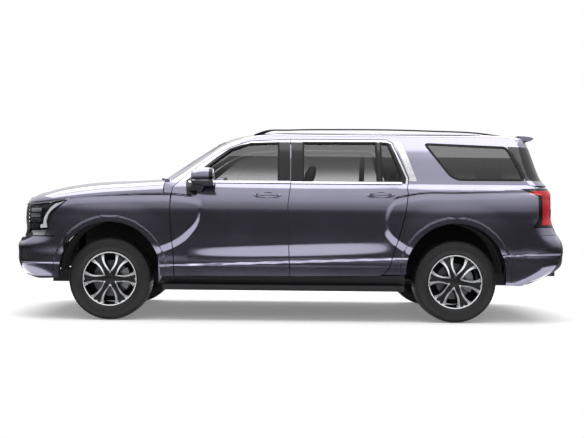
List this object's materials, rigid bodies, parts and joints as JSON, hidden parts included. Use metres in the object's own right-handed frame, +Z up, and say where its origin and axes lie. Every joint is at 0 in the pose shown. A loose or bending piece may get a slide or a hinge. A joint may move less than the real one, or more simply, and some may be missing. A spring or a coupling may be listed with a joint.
{
  "type": "sport utility vehicle",
  "caption": "Long five-door sport utility vehicle with roof rails, hinged doors, bonnet and tailgate, turning and steering wheels, and a hollow cabin with seats.",
  "frame": {"origin": "on the floor below the middle of the vehicle's length and width", "axes": "+Z up, nose towards -X, vehicle's left side towards -Y"},
  "size_m": [5.55, 2.45, 1.9154],
  "materials": {
    "paint": "slate violet metallic, clear coat",
    "trim_black": "black textured plastic",
    "gloss_black": "gloss black",
    "glass": "dark tinted glass",
    "lamp_clear": "clear lamp cover",
    "lamp_red": "red lamp cover",
    "satin_metal": "satin bright trim",
    "frame_steel": "black frame paint",
    "alloy": "machined and painted alloy",
    "tyre": "tyre rubber",
    "iron": "bare casting",
    "tank": "black moulded plastic",
    "steel": "stainless steel",
    "seat": "dark leather",
    "cabin": "dark grained plastic"
  },
  "bodies": {
    "chassis": {"floor_pan": "paint", "ladder_frame": "frame_steel", "front_wheelhouses": "trim_black", "left_body_side": "paint", "right_body_side": "paint", "roof_panel": "paint", "front_wings": "paint", "front_bumper": "paint", "rear_bumper": "paint", "grille": "trim_black", "headlamps": "lamp_clear", "tail_lamps": "lamp_red", "windscreen": "glass", "quarter_glasses": "glass", "roof_rails": "trim_black", "side_steps": "trim_black", "dashboard": "cabin", "front_seats": "seat", "middle_seats": "seat", "rear_seats": "seat", "engine": "iron", "fuel_tank": "tank", "exhaust": "steel", "rear_axle": "frame_steel", "suspension_arms": "frame_steel"},
    "bonnet": {"bonnet": "paint"},
    "tailgate": {"tailgate": "paint", "tailgate_glass": "glass", "rear_spoiler": "paint"},
    "steering_wheel": {"steering_wheel": "cabin"},
    "front_left_door": {"front_left_door": "paint", "front_left_door_glass": "glass", "left_mirror": "gloss_black"},
    "front_right_door": {"front_right_door": "paint", "front_right_door_glass": "glass", "right_mirror": "gloss_black"},
    "rear_left_door": {"rear_left_door": "paint", "rear_left_door_glass": "glass"},
    "rear_right_door": {"rear_right_door": "paint", "rear_right_door_glass": "glass"},
    "left_knuckle": {"left_knuckle": "iron"},
    "right_knuckle": {"right_knuckle": "iron"},
    "front_left_wheel": {"front_left_wheel": "alloy", "front_left_tyre": "tyre"},
    "front_right_wheel": {"front_right_wheel": "alloy", "front_right_tyre": "tyre"},
    "rear_left_wheel": {"rear_left_wheel": "alloy", "rear_left_tyre": "tyre"},
    "rear_right_wheel": {"rear_right_wheel": "alloy", "rear_right_tyre": "tyre"}
  },
  "joints": [
    {"name": "front_left_door_hinge", "type": "hinge", "parent": "chassis", "child": "front_left_door", "pos_m": [-1.11, -0.964, 0.875], "axis": [0, 0, -1], "range_deg": [0, 65]},
    {"name": "front_right_door_hinge", "type": "hinge", "parent": "chassis", "child": "front_right_door", "pos_m": [-1.11, 0.964, 0.875], "axis": [0, 0, 1], "range_deg": [0, 65]},
    {"name": "rear_left_door_hinge", "type": "hinge", "parent": "chassis", "child": "rear_left_door", "pos_m": [0.035, -0.964, 0.875], "axis": [0, 0, -1], "range_deg": [0, 65]},
    {"name": "rear_right_door_hinge", "type": "hinge", "parent": "chassis", "child": "rear_right_door", "pos_m": [0.035, 0.964, 0.875], "axis": [0, 0, 1], "range_deg": [0, 65]},
    {"name": "front_left_wheel_spin", "type": "hinge", "parent": "left_knuckle", "child": "front_left_wheel", "pos_m": [-1.755, -0.8575, 0.4], "axis": [0, 1, 0], "continuous": true},
    {"name": "front_right_wheel_spin", "type": "hinge", "parent": "right_knuckle", "child": "front_right_wheel", "pos_m": [-1.755, 0.8575, 0.4], "axis": [0, 1, 0], "continuous": true},
    {"name": "rear_left_wheel_spin", "type": "hinge", "parent": "chassis", "child": "rear_left_wheel", "pos_m": [1.605, -0.8575, 0.4], "axis": [0, 1, 0], "continuous": true},
    {"name": "rear_right_wheel_spin", "type": "hinge", "parent": "chassis", "child": "rear_right_wheel", "pos_m": [1.605, 0.8575, 0.4], "axis": [0, 1, 0], "continuous": true},
    {"name": "left_steer", "type": "hinge", "parent": "chassis", "child": "left_knuckle", "pos_m": [-1.755, -0.7535, 0.43], "axis": [0, 0, 1], "range_deg": [-30, 30]},
    {"name": "right_steer", "type": "hinge", "parent": "chassis", "child": "right_knuckle", "pos_m": [-1.755, 0.7535, 0.43], "axis": [0, 0, 1], "range_deg": [-30, 30]},
    {"name": "bonnet_hinge", "type": "hinge", "parent": "chassis", "child": "bonnet", "pos_m": [-1.25, 0, 1.343], "axis": [0, 1, 0], "range_deg": [0, 50]},
    {"name": "tailgate_hinge", "type": "hinge", "parent": "chassis", "child": "tailgate", "pos_m": [2.256, 0, 1.8323], "axis": [0, -1, 0], "range_deg": [0, 80]},
    {"name": "steering_wheel_turn", "type": "hinge", "parent": "chassis", "child": "steering_wheel", "pos_m": [-0.76, -0.41, 1.09], "axis": [-0.9063, 0, -0.4226], "range_deg": [-480, 480]}
  ],
  "couplings": [
    {"joint": "right_steer", "follows": "left_steer", "ratio": 1},
    {"joint": "steering_wheel_turn", "follows": "left_steer", "ratio": -16}
  ]
}
